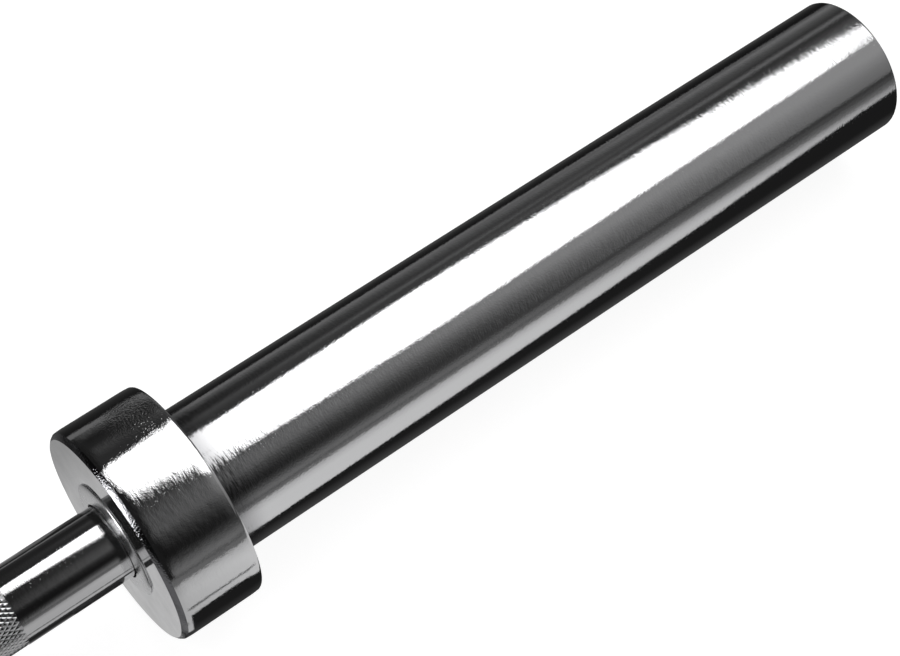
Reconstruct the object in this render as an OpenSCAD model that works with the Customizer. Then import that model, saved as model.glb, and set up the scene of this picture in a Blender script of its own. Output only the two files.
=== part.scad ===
// Olympic barbell: a knurled steel bar with a free-turning plate sleeve on each end.
// The origin is the middle of the bar on its own axis. +X runs along the bar, +Z is up.
// Every piece is turned about the X axis. Distances called depth are measured outward
// along the bar from the inner face of the collar, the face that looks at the hands.

/* [Bar] */
// Length of the whole barbell, from one sleeve end to the other
bar_length = 1830; // [1500:1:2200]
// Diameter of the grip
grip_d = 25; // [24.6:0.1:28]
// Diameter of the turned ends that run in the bushings
journal_d = 22; // [18:0.1:24]
// Solid bar left beyond the snap ring groove
bar_tip_length = 4; // [3:0.1:8]
// Chamfer on the two ends of the bar
bar_tip_chamfer = 1.5; // [0.5:0.1:3]

/* [Knurl] */
// Smooth neck between the collar and the knurl
neck_length = 38; // [20:0.5:80]
// Diameter of the bar under the knurl
knurl_root_d = 24.5; // [24:0.05:24.55]
// Smooth length in the middle of the bar
smooth_middle = 200; // [100:1:400]
// Distance between the two smooth ring marks
ring_mark_spacing = 910; // [500:1:1000]
// Width of one smooth ring mark
ring_mark_width = 5; // [3:0.5:10]

/* [Collar] */
// Outer diameter of the collar
collar_d = 74; // [68:0.5:90]
// Width of the collar along the bar
collar_width = 28.5; // [20:0.5:45]
// Grained bevel round the inner face
collar_bevel = 1.6; // [0.5:0.1:3]
// Small bevel round the plate face
collar_edge = 0.5; // [0.2:0.1:1.5]
// Depth of the seat for the sleeve's shoulder in the plate face
seat_depth = 1.5; // [1:0.1:4]

/* [Sleeve] */
// Outer diameter of the plate sleeve
sleeve_d = 50; // [49:0.1:52]
// Length that takes plates, from the collar to the sleeve end
loading_length = 278; // [200:1:440]
// Diameter of the spigot that the collar is pressed on
spigot_d = 46; // [43:0.1:48]
// Radial step from the sleeve down to its shoulder in the collar's seat
seat_step = 0.4; // [0.2:0.1:0.5]
// Bore of the sleeve tube, which holds the bushings
tube_bore_d = 32; // [28:0.1:35]
// Chamfer on the outer end of the sleeve
sleeve_chamfer = 1.2; // [0.5:0.1:2]

/* [Dust ring] */
// Outer diameter of the domed ring pressed into the collar
dust_ring_d = 40; // [38.5:0.1:42]
// How far the dome stands out of the collar
dust_ring_height = 1.6; // [0.5:0.1:3]
// How deep the ring sits in the collar
dust_ring_depth = 3; // [2:0.1:6]
// Open gap between the ring and the grip
dust_ring_gap = 0.6; // [0.4:0.05:1]

/* [Bushings and washers] */
// Length of a bushing inside the sleeve tube
bushing_length = 36; // [20:1:60]
// Thickness of a bushing's flange
flange_t = 3; // [2:0.1:5]
// Diameter of a bushing's flange
flange_d = 37; // [36:0.1:38]
// Thickness of a thrust washer
washer_t = 2; // [1:0.1:4]
// Outer diameter of a thrust washer
washer_d = 34; // [28:0.1:36]
// Radial gap between a thrust washer and the journal
washer_gap = 0.15; // [0.1:0.05:0.3]
// Radial running clearance between a bushing and the journal
running_clearance = 0.05; // [0.02:0.01:0.09]
// Axial play of the sleeve between each washer and its bushing
end_play = 0.3; // [0.2:0.05:0.8]

/* [Snap ring] */
// Thickness of the snap ring
snap_ring_t = 1.75; // [1.2:0.05:2.5]
// Width of the snap ring in the radial direction
snap_ring_w = 3.6; // [3:0.1:4.5]
// Depth of the snap ring groove
snap_groove_depth = 0.8; // [0.5:0.05:1.2]
// Axial play of a snap ring in its groove
groove_play = 0.1; // [0.05:0.05:0.2]

/* [End cap] */
// Thickness of the end cap
cap_t = 3; // [2:0.1:5]
// Step that the end cap seats on
cap_step = 1; // [0.8:0.1:1.2]
// Radial gap round the end cap
cap_gap = 0.1; // [0.05:0.05:0.3]
// Free space between the bar end and the cap
cap_space = 2.6; // [1:0.1:8]
// Thickness of the retaining ring in front of the cap
cap_ring_t = 1.75; // [1.2:0.05:2.5]
// Width of the retaining ring in the radial direction
cap_ring_w = 3.4; // [3:0.1:4]
// Depth of the groove that the retaining ring springs into
cap_groove_depth = 1.2; // [0.8:0.05:1.4]
// Distance from the retaining ring to the sleeve end
cap_recess = 2; // [1.5:0.1:4]
// Diameter of the turned groove on the face of the cap
cap_face_groove_d = 26; // [20:0.5:28]

/* [Ring lugs] */
// Radius of the two plier lugs on a spring ring
lug_r = 2.4; // [2.1:0.1:2.6]
// Radius of the hole in a lug
lug_hole_r = 1; // [0.8:0.1:1.2]
// Gap between the two lugs
lug_gap = 1.8; // [1:0.1:3]

/* [Hidden] */
$fn = 128;
LEFT = -1;
RIGHT = 1;
dome_steps = 12;
shoulder_space = 1;
dust_lip = 0.4;
seat_mouth_gap = 0.3;
face_groove_depth = 0.4;
face_groove_width = 2;
overshoot = 1;

// Places along the bar: the collar's inner face, and depths outward from it
sleeve_depth = collar_width + loading_length;
face_x = bar_length / 2 - sleeve_depth;
shoulder_depth = dust_ring_depth + shoulder_space;
inner_washer_depth = shoulder_depth;
inner_flange_depth = inner_washer_depth + washer_t + end_play;
spigot_depth = inner_flange_depth + flange_t;
cap_ring_depth = sleeve_depth - cap_recess - cap_ring_t;
cap_depth = cap_ring_depth - cap_t;
bar_tip_depth = cap_depth - cap_space;
snap_groove_width = snap_ring_t + groove_play;
snap_ring_depth = bar_tip_depth - bar_tip_length - snap_groove_width;
outer_washer_depth = snap_ring_depth - washer_t;
outer_flange_depth = outer_washer_depth - end_play - flange_t;

// Radii that two pieces share
grip_r = grip_d / 2;
journal_r = journal_d / 2;
sleeve_r = sleeve_d / 2;
spigot_r = spigot_d / 2;
seat_r = sleeve_r - seat_step;
seat_floor_depth = collar_width - seat_depth;
dust_ring_r = dust_ring_d / 2;
pocket_r = dust_ring_r;
cap_seat_r = pocket_r + cap_step;
snap_groove_r = journal_r - snap_groove_depth;
cap_groove_r = cap_seat_r + cap_groove_depth;

// Turns an outline of [radius, distance] points about the X axis
module turned(outline) {
    rotate([0, 90, 0]) rotate_extrude() polygon(outline);
}

// Puts a piece that is drawn outward from its own zero at a depth on one end of the bar
module at_depth(side, depth) {
    mirror([side == LEFT ? 1 : 0, 0, 0]) translate([face_x + depth, 0, 0]) children();
}

// A flat ring, from zero outward
module washer_blank(outer_r, inner_r, thickness) {
    turned([[inner_r, 0], [outer_r, 0], [outer_r, thickness], [inner_r, thickness]]);
}

// One bar, the same at both ends: outline of the right half, then its mirror image
half_bar = [
    [grip_r, smooth_middle / 2],
    [knurl_root_d / 2, smooth_middle / 2],
    [knurl_root_d / 2, (ring_mark_spacing - ring_mark_width) / 2],
    [grip_r, (ring_mark_spacing - ring_mark_width) / 2],
    [grip_r, (ring_mark_spacing + ring_mark_width) / 2],
    [knurl_root_d / 2, (ring_mark_spacing + ring_mark_width) / 2],
    [knurl_root_d / 2, face_x - neck_length],
    [grip_r, face_x - neck_length],
    [grip_r, face_x + shoulder_depth],
    [journal_r, face_x + shoulder_depth],
    [journal_r, face_x + snap_ring_depth],
    [snap_groove_r, face_x + snap_ring_depth],
    [snap_groove_r, face_x + snap_ring_depth + snap_groove_width],
    [journal_r, face_x + snap_ring_depth + snap_groove_width],
    [journal_r, face_x + bar_tip_depth - bar_tip_chamfer],
    [journal_r - bar_tip_chamfer, face_x + bar_tip_depth],
    [0, face_x + bar_tip_depth]
];

module shaft() {
    last = len(half_bar) - 1;
    other_half = [for (i = [last:-1:0]) [half_bar[i][0], -half_bar[i][1]]];
    color("silver") turned(concat(half_bar, other_half));
}

// The plate sleeve is one turned tube: spigot and shoulder for the collar, bore for the
// bushings, and a stepped pocket for the snap ring, the end cap and its retaining ring
module sleeve(side) {
    bore_r = tube_bore_d / 2;
    color("gainsboro") at_depth(side, 0) turned([
        [bore_r, spigot_depth],
        [spigot_r, spigot_depth],
        [spigot_r, seat_floor_depth],
        [seat_r, seat_floor_depth],
        [seat_r, collar_width],
        [sleeve_r, collar_width],
        [sleeve_r, sleeve_depth - sleeve_chamfer],
        [sleeve_r - sleeve_chamfer, sleeve_depth],
        [cap_seat_r, sleeve_depth],
        [cap_seat_r, cap_ring_depth + cap_ring_t + groove_play],
        [cap_groove_r, cap_ring_depth + cap_ring_t + groove_play],
        [cap_groove_r, cap_ring_depth],
        [cap_seat_r, cap_ring_depth],
        [cap_seat_r, cap_depth],
        [pocket_r, cap_depth],
        [pocket_r, outer_flange_depth],
        [bore_r, outer_flange_depth]
    ]);
}

// The collar is a thick ring pressed on the spigot up to the sleeve's shoulder, with a
// seat for the dust ring. The mouth of the shoulder's seat is opened clear of the sleeve,
// so that a plate lies flat on the collar
module collar(side) {
    outer_r = collar_d / 2;
    mouth_r = sleeve_r + seat_mouth_gap;
    color("silver") at_depth(side, 0) turned([
        [dust_ring_r, 0],
        [outer_r - collar_bevel, 0],
        [outer_r, collar_bevel],
        [outer_r, collar_width - collar_edge],
        [outer_r - collar_edge, collar_width],
        [mouth_r, collar_width],
        [seat_r, collar_width - (mouth_r - seat_r)],
        [seat_r, seat_floor_depth],
        [spigot_r, seat_floor_depth],
        [spigot_r, spigot_depth],
        [dust_ring_r, spigot_depth]
    ]);
}

// The dust ring closes the collar round the grip: a dome over a plain pressed-in skirt
module dust_ring(side) {
    inner_r = grip_r + dust_ring_gap;
    crown_r = inner_r + dust_lip;
    dome = [for (i = [0:dome_steps])
        let (turn = 90 * i / dome_steps)
        [crown_r + (dust_ring_r - crown_r) * sin(turn), -dust_ring_height * cos(turn)]];
    color("lightgray") at_depth(side, 0) turned(concat(
        [[inner_r, dust_ring_depth], [inner_r, dust_lip - dust_ring_height]],
        dome,
        [[dust_ring_r, dust_ring_depth]]
    ));
}

// A flanged bushing, from the outer face of its flange into the sleeve tube
module bushing() {
    inner_r = journal_r + running_clearance;
    turned([
        [inner_r, 0],
        [flange_d / 2, 0],
        [flange_d / 2, flange_t],
        [tube_bore_d / 2, flange_t],
        [tube_bore_d / 2, flange_t + bushing_length],
        [inner_r, flange_t + bushing_length]
    ]);
}

module inner_bushing(side) {
    color("peru") at_depth(side, inner_flange_depth) bushing();
}

module outer_bushing(side) {
    color("peru") at_depth(side, outer_flange_depth + flange_t) mirror([1, 0, 0]) bushing();
}

module inner_washer(side) {
    color("gray") at_depth(side, inner_washer_depth)
        washer_blank(washer_d / 2, journal_r + washer_gap, washer_t);
}

module outer_washer(side) {
    color("gray") at_depth(side, outer_washer_depth)
        washer_blank(washer_d / 2, journal_r + washer_gap, washer_t);
}

// Two round lugs beside the gap of a spring ring, at the given distance from its centre
module lug_discs(distance, radius) {
    swing = asin((lug_r + lug_gap / 2) / distance);
    for (turn = [-swing, swing]) rotate(turn) translate([distance, 0]) circle(radius);
}

// A spring ring stamped from sheet, open on one side, lying in the plane across the bar
module spring_ring(outer_r, inner_r, lug_distance, thickness) {
    rotate([0, 90, 0]) rotate(180) linear_extrude(thickness) difference() {
        union() {
            difference() {
                circle(outer_r);
                circle(inner_r);
            }
            lug_discs(lug_distance, lug_r);
        }
        lug_discs(lug_distance, lug_hole_r);
        translate([0, -lug_gap / 2]) square([outer_r + lug_r + overshoot, lug_gap]);
    }
}

// The snap ring holds the sleeve on the bar: it grips the groove in the journal
module snap_ring(side) {
    outer_r = snap_groove_r + snap_ring_w;
    color("dimgray") at_depth(side, snap_ring_depth)
        spring_ring(outer_r, snap_groove_r, outer_r, snap_ring_t);
}

// The retaining ring holds the end cap: it springs outward into the sleeve's groove
module cap_ring(side) {
    inner_r = cap_groove_r - cap_ring_w;
    color("dimgray") at_depth(side, cap_ring_depth)
        spring_ring(cap_groove_r, inner_r, inner_r, cap_ring_t);
}

// The end cap is a turned disc that drops on the step in the sleeve end
module end_cap(side) {
    cap_r = cap_seat_r - cap_gap;
    groove_r = cap_face_groove_d / 2;
    color("lightgray") at_depth(side, cap_depth) turned([
        [0, 0],
        [cap_r, 0],
        [cap_r, cap_t],
        [groove_r, cap_t],
        [groove_r, cap_t - face_groove_depth],
        [groove_r - face_groove_width, cap_t - face_groove_depth],
        [groove_r - face_groove_width, cap_t],
        [0, cap_t]
    ]);
}

shaft();
inner_washer(LEFT);  // left_inner_washer
outer_washer(LEFT);  // left_outer_washer
snap_ring(LEFT);  // left_snap_ring
sleeve(LEFT);  // left_sleeve
collar(LEFT);  // left_collar
dust_ring(LEFT);  // left_dust_ring
inner_bushing(LEFT);  // left_inner_bushing
outer_bushing(LEFT);  // left_outer_bushing
end_cap(LEFT);  // left_end_cap
cap_ring(LEFT);  // left_cap_ring
inner_washer(RIGHT);  // right_inner_washer
outer_washer(RIGHT);  // right_outer_washer
snap_ring(RIGHT);  // right_snap_ring
sleeve(RIGHT);  // right_sleeve
collar(RIGHT);  // right_collar
dust_ring(RIGHT);  // right_dust_ring
inner_bushing(RIGHT);  // right_inner_bushing
outer_bushing(RIGHT);  // right_outer_bushing
end_cap(RIGHT);  // right_end_cap
cap_ring(RIGHT);  // right_cap_ring
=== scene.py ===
# The olympic barbell, dressed for a studio picture: smooth turned pieces in place of the
# faceted ones, a knurl with real teeth, and plated, ground and phosphated finishes.
import math

import bmesh
import bpy
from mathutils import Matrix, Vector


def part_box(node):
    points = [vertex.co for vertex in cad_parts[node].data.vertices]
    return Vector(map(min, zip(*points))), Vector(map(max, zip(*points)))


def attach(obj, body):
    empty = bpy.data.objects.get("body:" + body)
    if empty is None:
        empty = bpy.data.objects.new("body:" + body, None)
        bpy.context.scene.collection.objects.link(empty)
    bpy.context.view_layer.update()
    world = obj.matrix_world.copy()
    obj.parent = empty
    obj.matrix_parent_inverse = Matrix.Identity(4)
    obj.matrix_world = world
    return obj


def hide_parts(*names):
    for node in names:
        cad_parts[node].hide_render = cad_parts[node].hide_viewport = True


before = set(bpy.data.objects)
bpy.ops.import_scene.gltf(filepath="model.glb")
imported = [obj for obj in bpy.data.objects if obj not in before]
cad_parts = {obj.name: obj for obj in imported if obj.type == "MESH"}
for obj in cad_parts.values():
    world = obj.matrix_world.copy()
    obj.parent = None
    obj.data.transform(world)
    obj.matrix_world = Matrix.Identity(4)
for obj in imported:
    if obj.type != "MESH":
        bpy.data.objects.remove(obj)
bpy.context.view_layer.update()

# The bar is one length of steel, turned, polished and plated with chrome. Both ends are
# turned down to journals that run inside the sleeves, with a groove for each snap ring.
# Between the smooth middle and each smooth neck it is knurled, but for one ring mark.
MM = 0.001
bar_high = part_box("shaft")[1]
face_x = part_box("right_collar")[0].x
grip_r = bar_high.z
journal_r = 11 * MM
knurl_core_r = 12.05 * MM
neck_length = 38 * MM
half_middle = 100 * MM
ring_mark_x = 455 * MM
half_mark = 2.5 * MM
shoulder_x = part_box("right_inner_washer")[0].x
snap_groove_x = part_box("right_snap_ring")[0].x
snap_groove_r = 10.2 * MM
snap_groove_width = 1.85 * MM
tip_chamfer = 1.5 * MM
facets = 256
weld_gap = 0.001 * MM
smooth_below = math.radians(28)
chrome_colour = (0.80, 0.80, 0.808, 1)
plate_spread = (60, 60, 60)
cloud_low = 0.3
cloud_high = 0.7
ring_spread = (3800, 330, 330)
lean_ratio = 15
cloth_spread = (2900, 2300, 2300)
pit_spread = (1700, 1700, 1700)
pit_start = 0.70
pit_full = 0.78
pit_depth = 6e-6


def turn(name, outline, solid=False):
    """Turns a piece on the bar's axis from its outline, a list of (place, radius)."""
    bpy.ops.object.select_all(action="DESELECT")
    place, radius = outline[0]
    bpy.ops.mesh.primitive_circle_add(
        vertices=facets,
        radius=radius,
        fill_type="TRIFAN" if solid else "NOTHING",
        location=(place, 0, 0),
        rotation=(0, math.radians(90), 0),
    )
    piece = bpy.context.object
    piece.name = name
    bpy.ops.object.transform_apply(location=True, rotation=True, scale=True)
    bpy.ops.object.mode_set(mode="EDIT")
    bpy.ops.mesh.select_all(action="SELECT")
    for next_place, next_radius in outline[1:]:
        step = (next_place - place, 0, 0)
        bpy.ops.mesh.extrude_region_move(TRANSFORM_OT_translate={"value": step})
        growth = next_radius / radius
        bpy.ops.transform.resize(
            value=(1, growth, growth), center_override=(next_place, 0, 0)
        )
        place, radius = next_place, next_radius
    bpy.ops.mesh.select_all(action="SELECT")
    bpy.ops.mesh.remove_doubles(threshold=weld_gap)
    bpy.ops.mesh.normals_make_consistent(inside=False)
    bpy.ops.object.mode_set(mode="OBJECT")
    bpy.ops.object.shade_smooth_by_angle(angle=smooth_below)
    return piece


def finish_named(name):
    """A new material, with its node tree and the inputs of its shader."""
    material = bpy.data.materials.new(name)
    material.use_nodes = True
    tree = material.node_tree
    return material, tree, tree.nodes["Principled BSDF"].inputs


def object_place(tree):
    """Where a point lies in its object."""
    return tree.nodes.new("ShaderNodeTexCoord").outputs["Object"]


def noise(tree, spread, detail):
    """Noise with so many marks to the metre along each axis."""
    stretch = tree.nodes.new("ShaderNodeMapping")
    stretch.inputs["Scale"].default_value = spread
    tree.links.new(object_place(tree), stretch.inputs["Vector"])
    marks = tree.nodes.new("ShaderNodeTexNoise")
    marks.inputs["Scale"].default_value = 1.0
    marks.inputs["Detail"].default_value = detail
    tree.links.new(stretch.outputs["Vector"], marks.inputs["Vector"])
    return marks.outputs


def feed(tree, value, socket):
    """Gives a socket a value, or links it to what another node gives."""
    if isinstance(value, bpy.types.NodeSocket):
        tree.links.new(value, socket)
    else:
        socket.default_value = value


def arithmetic(tree, kind, operation, values):
    """One step of arithmetic on numbers and on what other nodes give."""
    node = tree.nodes.new(kind)
    node.operation = operation
    for value, socket in zip(values, node.inputs):
        feed(tree, value, socket)
    return node.outputs


def number(tree, operation, *values):
    """A step of arithmetic that gives a number."""
    return arithmetic(tree, "ShaderNodeMath", operation, values)["Value"]


def vector(tree, operation, *values):
    """A step of arithmetic that gives a vector."""
    return arithmetic(tree, "ShaderNodeVectorMath", operation, values)["Vector"]


def mapped(tree, value, first, last, low=0.0, high=1.0, curve="LINEAR"):
    """Carries a value that runs from first to last over to the span from low to high."""
    span = tree.nodes.new("ShaderNodeMapRange")
    span.interpolation_type = curve
    tree.links.new(value, span.inputs["Value"])
    span.inputs["From Min"].default_value = first
    span.inputs["From Max"].default_value = last
    span.inputs["To Min"].default_value = low
    span.inputs["To Max"].default_value = high
    return span.outputs["Result"]


def uneven(tree, spread, low, high):
    """A value that drifts between low and high over the surface."""
    cloud = noise(tree, spread, detail=3.0)["Fac"]
    return mapped(tree, cloud, cloud_low, cloud_high, low, high)


def bumped(tree, height, depth, over=None, inward=False):
    """Marks of this height, over other marks where there are some. Returns the normal."""
    bump = tree.nodes.new("ShaderNodeBump")
    bump.invert = inward
    bump.inputs["Strength"].default_value = 1.0
    bump.inputs["Distance"].default_value = depth
    tree.links.new(height, bump.inputs["Height"])
    if over is not None:
        tree.links.new(over, bump.inputs["Normal"])
    return bump.outputs["Normal"]


def relief(tree, spread, depth, detail=2.0, over=None, mask=None):
    """Shallow irregular marks, only where the mask is if there is one."""
    height = noise(tree, spread, detail)["Fac"]
    if mask is not None:
        height = number(tree, "MULTIPLY", height, mask)
    return bumped(tree, height, depth, over)


def pits(tree, over):
    """Sparse small dimples that the plate leaves open."""
    rare = mapped(tree, noise(tree, pit_spread, detail=1.0)["Fac"], pit_start, pit_full)
    return bumped(tree, rare, pit_depth, over, inward=True)


def ring_marks(tree, lean, amount=None):
    """Narrow rings that lean the surface to and fro, as a tool leaves on a lathe."""
    tone = noise(tree, ring_spread, detail=1.0)["Color"]
    centred = vector(tree, "SUBTRACT", tone, (0.5, 0.5, 0.5))
    crosswise = lean / lean_ratio
    leaning = vector(tree, "MULTIPLY", centred, (lean, crosswise, crosswise))
    if amount is not None:
        leaning = vector(tree, "MULTIPLY", leaning, amount)
    surface = tree.nodes.new("ShaderNodeNewGeometry").outputs["Normal"]
    return vector(tree, "NORMALIZE", vector(tree, "ADD", surface, leaning))


def metal(name, colour, rough_spread, rough_low, rough_high):
    """A bare metal of one colour, rougher in some places than in others."""
    material, tree, shader = finish_named(name)
    shader["Metallic"].default_value = 1.0
    shader["Base Color"].default_value = colour
    drift = uneven(tree, rough_spread, rough_low, rough_high)
    tree.links.new(drift, shader["Roughness"])
    return material, tree, shader


def chrome(name, rough_low, rough_high, lean, cloth_depth):
    """Chrome plate over turned steel, with ring marks, cloth marks and pits."""
    material, tree, shader = metal(
        name, chrome_colour, plate_spread, rough_low, rough_high
    )
    rings = ring_marks(tree, lean)
    cloth = relief(tree, cloth_spread, cloth_depth, over=rings)
    tree.links.new(pits(tree, cloth), shader["Normal"])
    return material


def dress(piece, material):
    """Gives every face of a piece one finish."""
    piece.data.materials.clear()
    piece.data.materials.append(material)


half_bar = [
    (half_middle, grip_r),
    (half_middle, knurl_core_r),
    (ring_mark_x - half_mark, knurl_core_r),
    (ring_mark_x - half_mark, grip_r),
    (ring_mark_x + half_mark, grip_r),
    (ring_mark_x + half_mark, knurl_core_r),
    (face_x - neck_length, knurl_core_r),
    (face_x - neck_length, grip_r),
    (shoulder_x, grip_r),
    (shoulder_x, journal_r),
    (snap_groove_x, journal_r),
    (snap_groove_x, snap_groove_r),
    (snap_groove_x + snap_groove_width, snap_groove_r),
    (snap_groove_x + snap_groove_width, journal_r),
    (bar_high.x - tip_chamfer, journal_r),
    (bar_high.x, journal_r - tip_chamfer),
]
bar = turn("bar", [(-x, r) for x, r in reversed(half_bar)] + half_bar, solid=True)
bar_chrome = chrome(
    "bar_chrome", rough_low=0.03, rough_high=0.06, lean=0.03, cloth_depth=8e-6
)
dress(bar, bar_chrome)
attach(bar, "bar")
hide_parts("shaft")

# The knurl is a pattern of small pointed diamonds, longer than wide, that two toothed
# wheels press into the bar. It is plated with the bar, so that its crests are bright and
# its grooves are dull.
teeth_round = 48
tooth_length = 2.57 * MM
knurl_root_r = 12.25 * MM
tooth_flank = 0.30 * MM
tooth_height = 0.11 * MM
crown_height = 0.07 * MM
knurl_lining_r = 11.9 * MM
near_enough = 0.01 * MM


def select_edges(piece, wanted):
    """Selects the edges that the test wanted picks, and nothing else."""
    bpy.ops.mesh.select_mode(type="EDGE")
    bpy.ops.mesh.select_all(action="DESELECT")
    form = bmesh.from_edit_mesh(piece.data)
    for edge in form.edges:
        edge.select_set(wanted(edge))
    bmesh.update_edit_mesh(piece.data)


def run(edge):
    """How far an edge goes along the bar."""
    return abs(edge.verts[0].co.x - edge.verts[1].co.x)


def on_ring(edge, place):
    """True for an edge that lies at a place along the bar."""
    return all(abs(vertex.co.x - place) < near_enough for vertex in edge.verts)


def knurl(name, start, end):
    """Rolls one stretch of knurl from start to end along the bar, as a closed tube."""
    rows = round((end - start) / tooth_length)
    bpy.ops.object.select_all(action="DESELECT")
    bpy.ops.mesh.primitive_cylinder_add(
        vertices=teeth_round,
        radius=knurl_root_r,
        depth=end - start,
        end_fill_type="NOTHING",
        location=((start + end) / 2, 0, 0),
        rotation=(0, math.radians(90), 0),
    )
    piece = bpy.context.object
    piece.name = name
    bpy.ops.object.transform_apply(location=True, rotation=True, scale=True)
    bpy.ops.object.mode_set(mode="EDIT")
    select_edges(piece, lambda edge: run(edge) > tooth_length / 4)
    bpy.ops.mesh.subdivide(number_cuts=rows - 1)
    bpy.ops.mesh.select_all(action="SELECT")
    bpy.ops.mesh.poke()
    row = (end - start) / rows
    select_edges(
        piece,
        lambda edge: abs(run(edge) - row / 2) > row / 4 and not edge.is_boundary,
    )
    bpy.ops.mesh.dissolve_edges(use_verts=False)
    bpy.ops.mesh.select_mode(type="FACE")
    bpy.ops.mesh.select_all(action="DESELECT")
    form = bmesh.from_edit_mesh(piece.data)
    for face in form.faces:
        face.select_set(len(face.verts) == 4)
    bmesh.update_edit_mesh(piece.data)
    bpy.ops.mesh.inset(
        thickness=tooth_flank, depth=tooth_height, use_individual=True
    )
    bpy.ops.mesh.poke(offset=crown_height)
    shrink = knurl_lining_r / knurl_root_r
    for place in (start, end):
        select_edges(piece, lambda edge: edge.is_boundary and on_ring(edge, place))
        bpy.ops.mesh.extrude_region_move(
            TRANSFORM_OT_translate={"value": (0, 0, 0)}
        )
        bpy.ops.transform.resize(
            value=(1, shrink, shrink), center_override=(place, 0, 0)
        )
    select_edges(piece, lambda edge: edge.is_boundary)
    bpy.ops.mesh.bridge_edge_loops()
    bpy.ops.mesh.select_all(action="SELECT")
    bpy.ops.mesh.normals_make_consistent(inside=False)
    bpy.ops.object.mode_set(mode="OBJECT")
    return piece


knurl_chrome, tree, shader = metal(
    "knurl_chrome",
    colour=(0.78, 0.78, 0.79, 1),
    rough_spread=(400, 400, 400),
    rough_low=0.1,
    rough_high=0.22,
)
grooves = relief(tree, spread=(2500, 2500, 2500), depth=12e-6)
tree.links.new(grooves, shader["Normal"])
knurl_stretches = {
    "inner": (half_middle, ring_mark_x - half_mark),
    "outer": (ring_mark_x + half_mark, face_x - neck_length),
}
for stretch, (start, end) in knurl_stretches.items():
    for side, low, high in (("left", -end, -start), ("right", start, end)):
        piece = knurl(f"{side}_{stretch}_knurl", low, high)
        dress(piece, knurl_chrome)
        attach(piece, "bar")

# The thrust washers are ground steel discs. The inner one lies against the shoulder of the
# bar and the outer one against the snap ring, and the bushings run against them.
washer_steel, tree, shader = metal(
    "washer_steel",
    colour=(0.55, 0.55, 0.56, 1),
    rough_spread=(300, 900, 900),
    rough_low=0.28,
    rough_high=0.42,
)
grinding = relief(tree, spread=(300, 2200, 2200), depth=8e-6)
tree.links.new(grinding, shader["Normal"])


def dress_both_ends(names, material):
    """Gives these solids of each end one finish."""
    for side in ("left", "right"):
        for name in names:
            dress(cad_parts[f"{side}_{name}"], material)


dress_both_ends(["inner_washer", "outer_washer"], washer_steel)

# The bushings are flanged sleeves of sintered bronze, soaked in oil and pressed into the
# two ends of each plate sleeve.
dry_bronze = (0.71, 0.50, 0.28, 1)
oiled_bronze = (0.52, 0.33, 0.17, 1)


def mixed(tree, share, first, second):
    """A colour that goes from the first to the second with the share."""
    mix = tree.nodes.new("ShaderNodeMix")
    mix.data_type = "RGBA"
    feed(tree, share, mix.inputs["Factor"])
    feed(tree, first, mix.inputs["A"])
    feed(tree, second, mix.inputs["B"])
    return mix.outputs["Result"]


bushing_bronze, tree, shader = metal(
    "bushing_bronze",
    colour=dry_bronze,
    rough_spread=(500, 500, 500),
    rough_low=0.34,
    rough_high=0.5,
)
tree.links.new(relief(tree, spread=(3000, 3000, 3000), depth=10e-6), shader["Normal"])
soaked = uneven(tree, spread=(220, 220, 220), low=0.0, high=1.0)
stain = mixed(tree, soaked, dry_bronze, oiled_bronze)
tree.links.new(stain, shader["Base Color"])
dress_both_ends(["inner_bushing", "outer_bushing"], bushing_bronze)

# A plate sleeve is one turned steel tube with a spigot and a shoulder for the collar, a
# stepped pocket in its outer end, and a bright chrome plate. Close to the collar the
# polishing wheel can't reach, and the turning marks stay.
sleeve_low, sleeve_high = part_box("right_sleeve")
collar_low, collar_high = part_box("right_collar")
cap_low, cap_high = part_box("right_end_cap")
ring_low, ring_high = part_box("right_cap_ring")
sleeve_r = sleeve_high.z
spigot_r = 23 * MM
seat_r = 24.6 * MM
seat_depth = 1.5 * MM
bore_r = 16 * MM
pocket_r = 20 * MM
cap_seat_r = 21 * MM
cap_groove_r = 22.2 * MM
groove_play = 0.1 * MM
sleeve_chamfer = 0.4 * MM
flange_depth = 3 * MM
pocket_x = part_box("right_outer_bushing")[1].x - flange_depth
rim_round = 0.15 * MM
sleeve_outline = [
    (sleeve_low.x, bore_r),
    (sleeve_low.x, spigot_r),
    (collar_high.x - seat_depth, spigot_r),
    (collar_high.x - seat_depth, seat_r),
    (collar_high.x, seat_r),
    (collar_high.x, sleeve_r),
    (sleeve_high.x - sleeve_chamfer - 3 * rim_round, sleeve_r),
    (sleeve_high.x - sleeve_chamfer - rim_round, sleeve_r),
    (sleeve_high.x - sleeve_chamfer, sleeve_r - rim_round / 3),
    (sleeve_high.x - rim_round / 3, sleeve_r - sleeve_chamfer),
    (sleeve_high.x, sleeve_r - sleeve_chamfer - rim_round),
    (sleeve_high.x, cap_seat_r),
    (ring_high.x + groove_play, cap_seat_r),
    (ring_high.x + groove_play, cap_groove_r),
    (ring_low.x, cap_groove_r),
    (ring_low.x, cap_seat_r),
    (cap_low.x, cap_seat_r),
    (cap_low.x, pocket_r),
    (pocket_x, pocket_r),
    (pocket_x, bore_r),
    (sleeve_low.x, bore_r),
]


def copy_to_left(piece, name):
    """Copies a piece to the left end, turned half round, with a mesh of its own."""
    bpy.ops.object.select_all(action="DESELECT")
    piece.select_set(True)
    bpy.context.view_layer.objects.active = piece
    bpy.ops.object.duplicate()
    twin = bpy.context.object
    twin.name = name
    bpy.ops.object.mode_set(mode="EDIT")
    bpy.ops.mesh.select_all(action="SELECT")
    bpy.ops.transform.rotate(
        value=math.radians(180), orient_axis="Z", center_override=(0, 0, 0)
    )
    bpy.ops.object.mode_set(mode="OBJECT")
    return twin


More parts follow.
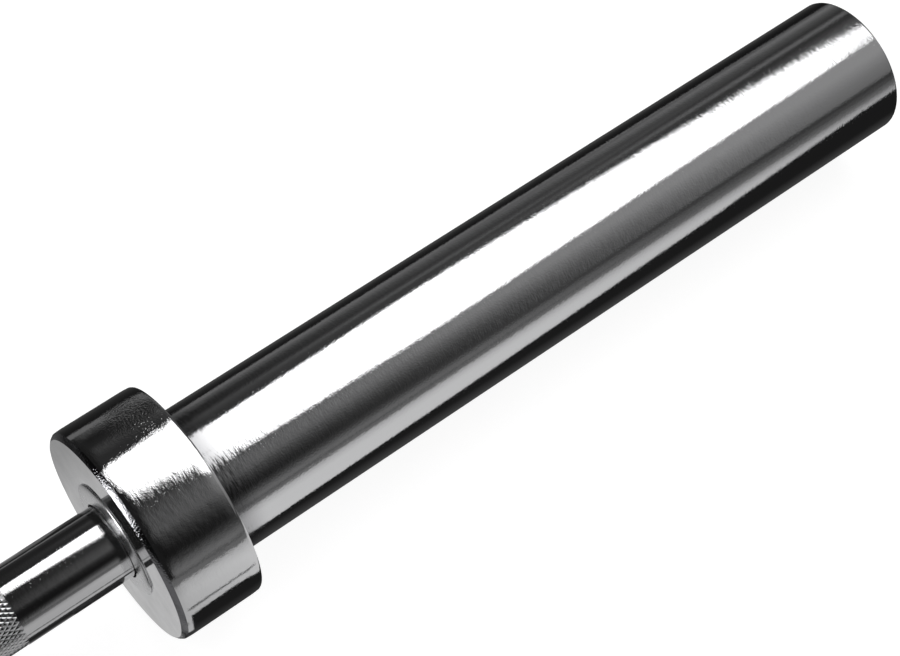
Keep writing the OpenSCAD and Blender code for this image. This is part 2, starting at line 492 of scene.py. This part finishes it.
def both_ends(piece, name):
    """Puts a piece on the right sleeve unit, and a copy of it on the left one."""
    twin = copy_to_left(piece, piece.name.replace("right", "left"))
    for side, one in (("right", piece), ("left", twin)):
        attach(one, f"{side}_sleeve_unit")
        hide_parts(f"{side}_{name}")


def axes(tree):
    """Where a point lies in its object along X, Y and Z."""
    parts = tree.nodes.new("ShaderNodeSeparateXYZ")
    tree.links.new(object_place(tree), parts.inputs["Vector"])
    return parts.outputs


def near_collar(tree, reach):
    """A value of one at the collar's plate face that falls to nought over the reach."""
    place = number(tree, "ABSOLUTE", axes(tree)["X"])
    end = collar_high.x + reach
    return mapped(tree, place, collar_high.x, end, 1.0, 0.0, curve="SMOOTHSTEP")


sleeve_bright = (0.80, 0.80, 0.81, 1)
sleeve_grey = (0.42, 0.42, 0.43, 1)
grey_reach = 13 * MM
coarse_reach = 18 * MM
coarse_roughness = 0.09
coarse_lean = 3.2
sleeve_chrome, tree, shader = finish_named("sleeve_chrome")
shader["Metallic"].default_value = 1.0
plate = mixed(tree, near_collar(tree, grey_reach), sleeve_bright, sleeve_grey)
tree.links.new(plate, shader["Base Color"])
unreached = near_collar(tree, coarse_reach)
drift = uneven(tree, plate_spread, low=0.04, high=0.08)
duller = number(tree, "MULTIPLY_ADD", unreached, coarse_roughness, drift)
tree.links.new(duller, shader["Roughness"])
coarser = number(tree, "MULTIPLY_ADD", unreached, coarse_lean, 1.0)
rings = ring_marks(tree, lean=0.09, amount=coarser)
cloth = relief(tree, spread=(1700, 1500, 1500), depth=22e-6, over=rings)
tree.links.new(pits(tree, cloth), shader["Normal"])

sleeve = turn("right_plate_sleeve", sleeve_outline)
dress(sleeve, sleeve_chrome)
both_ends(sleeve, "sleeve")

# The collar is a thick steel ring pressed on the spigot up to the sleeve's shoulder. Its
# rim is polished bright and falls away softly at both sides. The bevel round the inner
# face is left grainy under the plate, and the face itself is turned flat and polished.
collar_r = collar_high.z
bevel = 1.6 * MM
bevel_round_in = 0.44 * bevel
bevel_round_drop = 0.47 * bevel
edge = 0.5 * MM
edge_round_in = edge / 15
edge_round_drop = 0.55 * edge
edge_drop = 0.7 * edge
mouth_r = 25.3 * MM
ease_length = 3.4 * MM
ease_drop = 0.16 * MM
ease_steps = 8
dust_seat_r = 20 * MM
sink_r = 22 * MM
sink_depth = 0.18 * MM
sink_round = 0.2 * MM
spigot_end_x = sleeve_low.x


def eased(place, radius, away):
    """The soft fall-off at a rim's end: away is 1 or -1, the way the rim lies from there."""
    rim = []
    for step in range(ease_steps + 1):
        share = step / ease_steps
        drop = ease_drop * (1 - share) ** 2
        rim.append((place + away * ease_length * share, radius - drop))
    return rim


inner_rim = eased(collar_low.x + bevel, collar_r, 1)
outer_rim = eased(collar_high.x - edge, collar_r, -1)
collar_outline = [
    (spigot_end_x, dust_seat_r),
    (collar_low.x + sink_depth, dust_seat_r),
    (collar_low.x + sink_depth / 10, sink_r - sink_round),
    (collar_low.x, sink_r),
    (collar_low.x, sink_r + sink_round),
    (collar_low.x, collar_r - bevel),
    (collar_low.x + bevel_round_in, collar_r - bevel_round_drop),
    *inner_rim,
    *reversed(outer_rim),
    (collar_high.x - edge_round_in, collar_r - ease_drop - edge_round_drop),
    (collar_high.x, collar_r - ease_drop - edge_drop),
    (collar_high.x, mouth_r),
    (collar_high.x - (mouth_r - seat_r), seat_r),
    (collar_high.x - seat_depth, seat_r),
    (collar_high.x - seat_depth, spigot_r),
    (spigot_end_x, spigot_r),
    (spigot_end_x, dust_seat_r),
]
collar = turn("right_plate_collar", collar_outline)
collar_chrome = chrome(
    "collar_chrome", rough_low=0.02, rough_high=0.05, lean=0.08, cloth_depth=13e-6
)
dress(collar, collar_chrome)


def distance(tree, place, centre):
    """How far a place lies from a centre."""
    values = (place, centre)
    return arithmetic(tree, "ShaderNodeVectorMath", "DISTANCE", values)["Value"]


# At one spot of the rim the plate has a coarse peel, and it waves slightly all over. The
# turned face is hazy, and the bevel dark and grainy.
peel_place = (face_x + 20 * MM, 14 * MM, 34.2 * MM)
peel_reach = 14 * MM
tree = collar_chrome.node_tree
shader = tree.nodes["Principled BSDF"].inputs
away = distance(tree, object_place(tree), peel_place)
peeled = mapped(tree, away, 0.0, peel_reach, 1.0, 0.0, curve="SMOOTHSTEP")
polished = shader["Normal"].links[0].from_socket
peel = relief(
    tree,
    spread=(1500, 1500, 1500),
    depth=210e-6,
    detail=1.0,
    over=polished,
    mask=peeled,
)
waves = relief(tree, spread=(500, 500, 500), depth=22e-6, detail=1.0, over=peel)
tree.links.new(waves, shader["Normal"])

clear_chrome = (0.72, 0.72, 0.73, 1)
hazy_chrome = (0.86, 0.86, 0.87, 1)
face_chrome, tree, shader = metal(
    "collar_face_chrome",
    colour=clear_chrome,
    rough_spread=(90, 90, 90),
    rough_low=0.05,
    rough_high=0.12,
)
hazy = uneven(tree, spread=(160, 120, 120), low=0.0, high=1.0)
haze = mixed(tree, hazy, clear_chrome, hazy_chrome)
tree.links.new(haze, shader["Base Color"])
tree.links.new(relief(tree, spread=(200, 160, 160), depth=12e-6), shader["Normal"])

bevel_grain, tree, shader = metal(
    "collar_bevel_grain",
    colour=(0.22, 0.22, 0.23, 1),
    rough_spread=(900, 900, 900),
    rough_low=0.03,
    rough_high=0.08,
)
grains = relief(tree, spread=(1700, 1700, 1700), depth=110e-6, detail=1.0)
tree.links.new(grains, shader["Normal"])

collar.data.materials.append(face_chrome)
collar.data.materials.append(bevel_grain)
for face in collar.data.polygons:
    face_r = face.center.yz.length
    if face.center.x < collar_low.x + sink_depth and face_r > dust_seat_r:
        face.material_index = 1
    elif face.center.x < collar_low.x + bevel and face_r > sink_r:
        face.material_index = 2
both_ends(collar, "collar")

# The dust ring is a low domed ring, turned and plated, that is pressed into the collar. It
# leaves a thin open gap round the grip, and its foot shows as a fine groove in the face.
dust_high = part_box("right_dust_ring")[1]
dust_r = dust_high.z
dust_hole_r = 13.1 * MM
dome_height = 0.95 * MM
dome_bow = 2.5
dome_steps = 18
foot_groove_width = 0.45 * MM
foot_groove_depth = 0.4 * MM
dome_r = dust_r - foot_groove_width
dome = []
for step in range(dome_steps + 1):
    turned = math.radians(90 * step / dome_steps)
    reach = math.sin(turned) ** (2 / dome_bow)
    place = face_x - dome_height * math.cos(turned)
    dome.append((place, dust_hole_r + (dome_r - dust_hole_r) * reach))
dust_outline = [
    (dust_high.x, dust_hole_r),
    *dome,
    (face_x + foot_groove_depth, dome_r),
    (face_x + foot_groove_depth, dust_r),
    (dust_high.x, dust_r),
    (dust_high.x, dust_hole_r),
]
dust_ring = turn("right_gap_ring", dust_outline)


def lathe_grooves(tree, pitch, depth):
    """The fine rings that facing on a lathe leaves round the axis. Returns the normal."""
    across = vector(tree, "MULTIPLY", object_place(tree), (0, 1, 1))
    feed = number(tree, "MULTIPLY", distance(tree, across, (0, 0, 0)), math.tau / pitch)
    return bumped(tree, number(tree, "SINE", feed), depth)


ring_chrome, tree, shader = metal(
    "ring_chrome",
    colour=(0.76, 0.76, 0.77, 1),
    rough_spread=(200, 200, 200),
    rough_low=0.20,
    rough_high=0.30,
)
turning = lathe_grooves(tree, pitch=0.4488 * MM, depth=8e-6)
tree.links.new(turning, shader["Normal"])
dress(dust_ring, ring_chrome)
both_ends(dust_ring, "dust_ring")

# The snap ring that keeps the sleeve on the bar, and the retaining ring in front of the end
# cap, are stamped from spring steel and phosphated dark grey.
spring_steel, tree, shader = metal(
    "spring_steel",
    colour=(0.16, 0.16, 0.17, 1),
    rough_spread=(700, 700, 700),
    rough_low=0.4,
    rough_high=0.6,
)
phosphate_cover = 0.4
shader["Metallic"].default_value = 1 - phosphate_cover
tree.links.new(relief(tree, spread=(4000, 4000, 4000), depth=10e-6), shader["Normal"])
dress_both_ends(["snap_ring", "cap_ring"], spring_steel)

# The end cap is a disc turned from aluminium, with a shallow groove in its face. It drops
# on the step in the sleeve's end, and the retaining ring holds it there.
cap_r = cap_high.z
groove_outer_r = 13 * MM
groove_inner_r = 11 * MM
groove_depth = 0.4 * MM
cap_edge = 0.3 * MM
centre_r = 0.5 * MM
cap_outline = [
    (cap_low.x, cap_r),
    (cap_high.x - cap_edge, cap_r),
    (cap_high.x, cap_r - cap_edge),
    (cap_high.x, groove_outer_r),
    (cap_high.x - groove_depth, groove_outer_r),
    (cap_high.x - groove_depth, groove_inner_r),
    (cap_high.x, groove_inner_r),
    (cap_high.x, centre_r),
    (cap_high.x - centre_r, centre_r / 10),
]
end_cap = turn("right_end_disc", cap_outline, solid=True)
cap_aluminium, tree, shader = metal(
    "cap_aluminium",
    colour=(0.72, 0.72, 0.73, 1),
    rough_spread=(100, 100, 100),
    rough_low=0.24,
    rough_high=0.36,
)
turning = lathe_grooves(tree, pitch=0.9666 * MM, depth=8e-6)
tree.links.new(turning, shader["Normal"])
dress(end_cap, cap_aluminium)
both_ends(end_cap, "end_cap")

# The studio has a white floor that the collars rest on, and a white sky. Both look evenly
# bright to the camera and in reflections. Of the two only the sky lights other surfaces,
# and less than it looks, so that faint shadows lie on the floor.
floor_z = -collar_r
floor_size = 40.0
floor_tone = (0.4, 0.4, 0.4, 1)
floor_glow = 0.93
sky_light = 0.7
sky_seen = 1.0
bpy.ops.object.select_all(action="DESELECT")
bpy.ops.mesh.primitive_plane_add(size=floor_size, location=(0, 0, floor_z))
floor = bpy.context.object
floor.name = "studio_floor"


def looked_at(tree):
    """One for camera, glossy and see-through rays, and nought for other light."""
    ray = tree.nodes.new("ShaderNodeLightPath").outputs
    mirrored = number(tree, "MAXIMUM", ray["Is Camera Ray"], ray["Is Glossy Ray"])
    return number(tree, "MAXIMUM", mirrored, ray["Is Transmission Ray"])


floor_white, tree, shader = finish_named("floor_white")
shader["Base Color"].default_value = floor_tone
shader["Roughness"].default_value = 1.0
shader["Specular IOR Level"].default_value = 0.0
shader["Emission Color"].default_value = (1, 1, 1, 1)
glow = number(tree, "MULTIPLY", looked_at(tree), floor_glow)
tree.links.new(glow, shader["Emission Strength"])
dress(floor, floor_white)

world = bpy.data.worlds.new("studio_white")
bpy.context.scene.world = world
world.use_nodes = True
tree = world.node_tree
level = mapped(tree, looked_at(tree), 0.0, 1.0, sky_light, sky_seen)
tree.links.new(level, tree.nodes["Background"].inputs["Strength"])

# A large soft box hangs over each end and one over the middle, and a dim skirt shows past
# the near side of each end's box. The corners at the ends are given from the collar's
# inner face and the bar's axis, and shape the bright band on the sleeve.
soft_box_height = 1.0
skirt_rise = 0.01
soft_box_tone = 1.6
skirt_tone = 0.35
soft_box_corners = [
    (0.05, 0.30),
    (0.085, 0.12),
    (0.146, 0.02),
    (0.185, -0.115),
    (0.215, -0.125),
    (0.31, -0.37),
    (0.53, -0.475),
    (0.97, -0.30),
    (1.03, 0.08),
    (0.835, 0.66),
    (0.63, 0.98),
    (0.36, 0.80),
    (0.05, 0.57),
]
skirt_corners = [
    (0.13, 0.02),
    (0.19, -0.145),
    (0.31, -0.40),
    (0.53, -0.505),
    (0.97, -0.325),
    (1.0, -0.1),
]
centre_corners = [(-0.2, -0.45), (0.2, -0.45), (0.2, 0.6), (-0.2, 0.6)]


def glowing(name, strength):
    """A finish that glows with one even tone."""
    material = bpy.data.materials.new(name)
    material.use_nodes = True
    tree = material.node_tree
    tree.nodes.remove(tree.nodes["Principled BSDF"])
    light = tree.nodes.new("ShaderNodeEmission")
    light.inputs["Strength"].default_value = strength
    surface = tree.nodes["Material Output"].inputs["Surface"]
    tree.links.new(light.outputs["Emission"], surface)
    return material


def for_reflections_only(piece):
    """Hides a piece of the stage from all but reflections."""
    piece.visible_camera = False
    piece.visible_diffuse = False
    piece.visible_transmission = False
    piece.visible_volume_scatter = False
    piece.visible_shadow = False


def board(name, corners, material):
    """A flat board with these corners, seen by reflections alone."""
    form = bpy.data.meshes.new(name)
    form.from_pydata(corners, [], [range(len(corners))])
    piece = bpy.data.objects.new(name, form)
    bpy.context.scene.collection.objects.link(piece)
    for_reflections_only(piece)
    dress(piece, material)
    return piece


def level_at(height, corners, sense=1):
    """Lays corners at one height beyond the right collar's face, or with -1 the left one's."""
    return [(sense * (face_x + x), y, height) for x, y in corners]


soft_box_light = glowing("soft_box_light", soft_box_tone)
skirt_light = glowing("soft_box_skirt", skirt_tone)
for side, sense in (("right", 1), ("left", -1)):
    box_corners = level_at(soft_box_height, soft_box_corners, sense)
    box = board(f"{side}_soft_box", box_corners, soft_box_light)
    box.visible_diffuse = True
    hung_corners = level_at(soft_box_height + skirt_rise, skirt_corners, sense)
    board(f"{side}_soft_box_skirt", hung_corners, skirt_light)
middle_corners = [(x, y, soft_box_height) for x, y in centre_corners]
middle_box = board("centre_soft_box", middle_corners, soft_box_light)
middle_box.visible_diffuse = True

# Boards lie on the floor, and are seen by reflections alone: a pale one in front of the
# bar with two dark seams, whose near edge follows the bar's shadow on the table; a graded
# one, nearly black under the bar as painted shadow; a black one, painted shadow under the
# bar and dark room behind it; and grey ones beyond them.
grey_z = floor_z + 0.1 * MM
dark_z = floor_z + 0.2 * MM
pale_z = floor_z + 0.3 * MM
seam_z = floor_z + 0.4 * MM


def ramp(tree, value, stops):
    """A grey tone that follows a value, from stops of (value, tone)."""
    tones = tree.nodes.new("ShaderNodeValToRGB")
    tree.links.new(value, tones.inputs["Fac"])
    elements = tones.color_ramp.elements
    while len(elements) < len(stops):
        elements.new(0.5)
    for element, (at, tone) in zip(elements, stops):
        element.position = at
        element.color = (tone, tone, tone, 1)
    return tones.outputs["Color"]


def shaded(name, axis, stops):
    """A finish whose tone changes along one axis, from stops of (place, tone)."""
    material = glowing(name, 1.0)
    tree = material.node_tree
    first, last = stops[0][0], stops[-1][0]
    share = mapped(tree, axes(tree)[axis], first, last)
    shares = [((at - first) / (last - first), tone) for at, tone in stops]
    tree.links.new(ramp(tree, share, shares), tree.nodes["Emission"].inputs["Color"])
    return material


pale_board = shaded(
    "pale_board",
    "X",
    [
        (face_x - 0.04, 0.41),
        (face_x, 0.43),
        (face_x + 0.02, 0.50),
        (face_x + 0.05, 0.62),
        (face_x + 0.18, 0.61),
        (face_x + 0.30, 0.54),
        (face_x + 0.45, 0.40),
    ],
)
pale_near = -0.33
pale_far = -0.13
pale_near_tone = 0.58
tree = pale_board.node_tree
farther = mapped(tree, axes(tree)["Y"], pale_near, pale_far, pale_near_tone, 1.0)
tree.links.new(farther, tree.nodes["Emission"].inputs["Strength"])

# Painted shadow: the graded board is nearly black under the bar, where the bar's shadow would
# lie, and pale beyond it.
near_table_and_shadow = shaded(
    "near_table_and_shadow",
    "Y",
    [
        (-0.03, 0.016),
        (-0.02, 0.018),
        (-0.012, 0.06),
        (-0.0085, 0.16),
        (0.0, 0.43),
        (0.038, 0.5),
        (0.054, 0.27),
        (0.1, 0.11),
        (0.19, 0.06),
    ],
)
# Painted shadow: the black board stands for the bar's own shadow on the table under it, and
# for the dark room behind the bar.
black_board = shaded(
    "black_board",
    "Y",
    [
        (-0.045, 0.012),
        (-0.01, 0.075),
        (0.085, 0.064),
        (0.105, 0.038),
        (0.136, 0.023),
        (0.19, 0.014),
        (0.3, 0.009),
    ],
)
grip_seam_board = glowing("grip_seam_board", strength=0.14)
collar_seam_board = glowing("collar_seam_board", strength=0.05)
grey_board = glowing("grey_board", strength=0.14)
deep_board = glowing("deep_board", strength=0.085)
# The pale board's near edge follows the edge of the bar's shadow, and the black board shows
# past it as painted shadow.
pale_corners = [
    (-0.6, -0.035),
    (0.008, -0.037),
    (0.0095, -0.064),
    (0.031, -0.066),
    (0.046, -0.056),
    (0.057, -0.056),
    (0.141, -0.066),
    (0.200, -0.077),
    (0.262, -0.093),
    (0.321, -0.122),
    (0.378, -0.152),
    (0.75, -0.36),
    (-0.6, -0.33),
]
shadow_and_black_corners = [
    (-4, -0.34),
    (1.5, -0.34),
    (1.5, 1.7),
    (0.9, 1.09),
    (0.52, 0.62),
    (0.34, 0.45),
    (0.164, 0.38),
    (-4, 0.39),
]
grip_seam = [(-0.6, -0.047), (0.006, -0.050), (0.006, -0.056), (-0.6, -0.054)]
collar_seam = [(0.01, -0.077), (0.045, -0.079), (0.045, -0.083), (0.01, -0.081)]
near_corners = [
    (-0.3, -0.03),
    (-0.018, -0.03),
    (-0.018, 0.068),
    (0.0, 0.068),
    (0.004, 0.19),
    (-0.3, 0.19),
]
grey_corners = [(-5, -3), (5, -3), (5, 3), (-5, 3)]
deep_corners = [(-5, -2.2), (5, -2.2), (5, -0.95), (-5, -0.95)]
for name, corners, height, material in (
    ("pale", pale_corners, pale_z, pale_board),
    ("black", shadow_and_black_corners, dark_z, black_board),
    ("near", near_corners, pale_z, near_table_and_shadow),
    ("grip_seam", grip_seam, seam_z, grip_seam_board),
    ("collar_seam", collar_seam, seam_z, collar_seam_board),
    ("grey", grey_corners, grey_z, grey_board),
    ("deep", deep_corners, dark_z, deep_board),
):
    board(f"{name}_board", level_at(height, corners), material)

# A small card lies beside the right collar, and lights the turned faces of that collar and
# its dust ring alone, which show another tone than the bar in front of them does.
face_tone = shaded(
    "face_tone",
    "Y",
    [
        (-0.02, 0.50),
        (0.02, 0.46),
        (0.042, 0.40),
        (0.057, 0.27),
        (0.09, 0.2),
    ],
)
card_colour = (0.12, 0.12, 0.12, 1)
tree = face_tone.node_tree
dim = tree.nodes.new("ShaderNodeBsdfDiffuse")
dim.inputs["Color"].default_value = card_colour
both = tree.nodes.new("ShaderNodeAddShader")
tree.links.new(dim.outputs["BSDF"], both.inputs[0])
tree.links.new(tree.nodes["Emission"].outputs["Emission"], both.inputs[1])
tree.links.new(both.outputs["Shader"], tree.nodes["Material Output"].inputs["Surface"])
face_card = [(-0.018, -0.03), (0, -0.03), (0, 0.068), (-0.018, 0.068)]
card = board("face_card", level_at(seam_z, face_card), face_tone)
lit = bpy.data.collections.new("lit_by_card")
lit.objects.link(collar)
lit.objects.link(dust_ring)
card.light_linking.receiver_collection = lit

# Two screens stand upright across the bar, one far beyond each end: a bright one that the
# bevel and the domed ring show, and a dim one for the outer edge of the collar.
for name, place, near, far, low, high, strength in (
    ("left_screen", -2.6, -0.05, 1.15, 0.12, 1.1, 9.0),
    ("right_screen", 2.8, -0.4, 0.0, 0.2, 2.0, 0.9),
):
    corners = [(near, low), (far, low), (far, high), (near, high)]
    standing = [(face_x + place, y, z) for y, z in corners]
    board(name, standing, glowing(name, strength))

# The room is a wide tunnel round the bar. Its tone changes from the floor to the ceiling,
# given here as stops of (degrees from straight up towards the far side, tone), at five
# places beyond the collar's face.
tunnel_r = 3.0
tunnel_length = 9.0
room_tones = {
    0.2: [(-90, 0.012), (90, 0.012)],
    0.34: [
        (-93, 0.10),
        (-86, 0.14),
        (-80, 0.064),
        (-74, 0.02),
        (-68, 0.007),
        (-56, 0.007),
        (-50, 0.02),
        (-42, 0.057),
        (-32, 0.049),
        (-16, 0.022),
        (46, 0.028),
        (66, 0.018),
        (82, 0.02),
        (97, 0.055),
    ],
    0.62: [
        (-93, 0.083),
        (-88, 0.166),
        (-84, 0.128),
        (-76, 0.048),
        (-70, 0.012),
        (-64, 0.012),
        (-52, 0.046),
        (-44, 0.10),
        (-30, 0.09),
        (-18, 0.05),
        (46, 0.025),
        (56, 0.06),
        (64, 0.02),
        (76, 0.010),
        (92, 0.105),
    ],
    1.21: [
        (-93, 0.098),
        (-88, 0.143),
        (-84, 0.116),
        (-78, 0.045),
        (-72, 0.035),
        (-60, 0.056),
        (-48, 0.122),
        (-36, 0.218),
        (-20, 0.218),
        (50, 0.045),
        (56, 0.046),
        (60, 0.113),
        (67, 0.035),
        (80, 0.07),
        (92, 0.14),
    ],
    2.06: [
        (-96, 0.25),
        (-88, 0.06),
        (-84, 0.066),
        (-79, 0.03),
        (-73, 0.15),
        (-58, 0.19),
        (-36, 0.29),
        (-20, 0.29),
        (38, 0.04),
        (44, 0.033),
        (50, 0.15),
        (57, 0.03),
        (72, 0.086),
        (83, 0.166),
        (92, 0.05),
    ],
}
bpy.ops.object.select_all(action="DESELECT")
bpy.ops.mesh.primitive_cylinder_add(
    vertices=96, radius=tunnel_r, depth=tunnel_length, rotation=(0, math.radians(90), 0)
)
room = bpy.context.object
room.name = "studio_room"
bpy.ops.object.transform_apply(location=True, rotation=True, scale=True)
for_reflections_only(room)
room_tone = glowing("room_tone", 1.0)
tree = room_tone.node_tree
place = axes(tree)
angle = number(tree, "ARCTAN2", place["Y"], place["Z"])
turn_share = mapped(tree, angle, -math.pi, math.pi)
tone = None
nearer = None
for along, stops in room_tones.items():
    shares = [((degrees + 180) / 360, grey) for degrees, grey in stops]
    next_tone = ramp(tree, turn_share, shares)
    if tone is None:
        tone = next_tone
    else:
        share = mapped(tree, place["X"], face_x + nearer, face_x + along)
        tone = mixed(tree, share, tone, next_tone)
    nearer = along
tree.links.new(tone, tree.nodes["Emission"].inputs["Color"])
dress(room, room_tone)

# The camera stands over the grip, in front of the right collar, and looks down and along
# the sleeve. Its place and its angles are those that fit the picture.
camera_place = (face_x - 0.1083, -0.3026, 0.5627)
camera_tilt = 55.81
camera_turn = -38.09
camera_lens = 84.21
scene = bpy.context.scene
camera_data = bpy.data.cameras.new("photo_camera")
camera = bpy.data.objects.new("photo_camera", camera_data)
scene.collection.objects.link(camera)
camera.location = camera_place
camera.rotation_euler = (math.radians(90 - camera_tilt), 0, math.radians(camera_turn))
camera_data.lens = camera_lens
camera_data.clip_start = 0.01
scene.camera = camera
scene.view_settings.view_transform = "Standard"
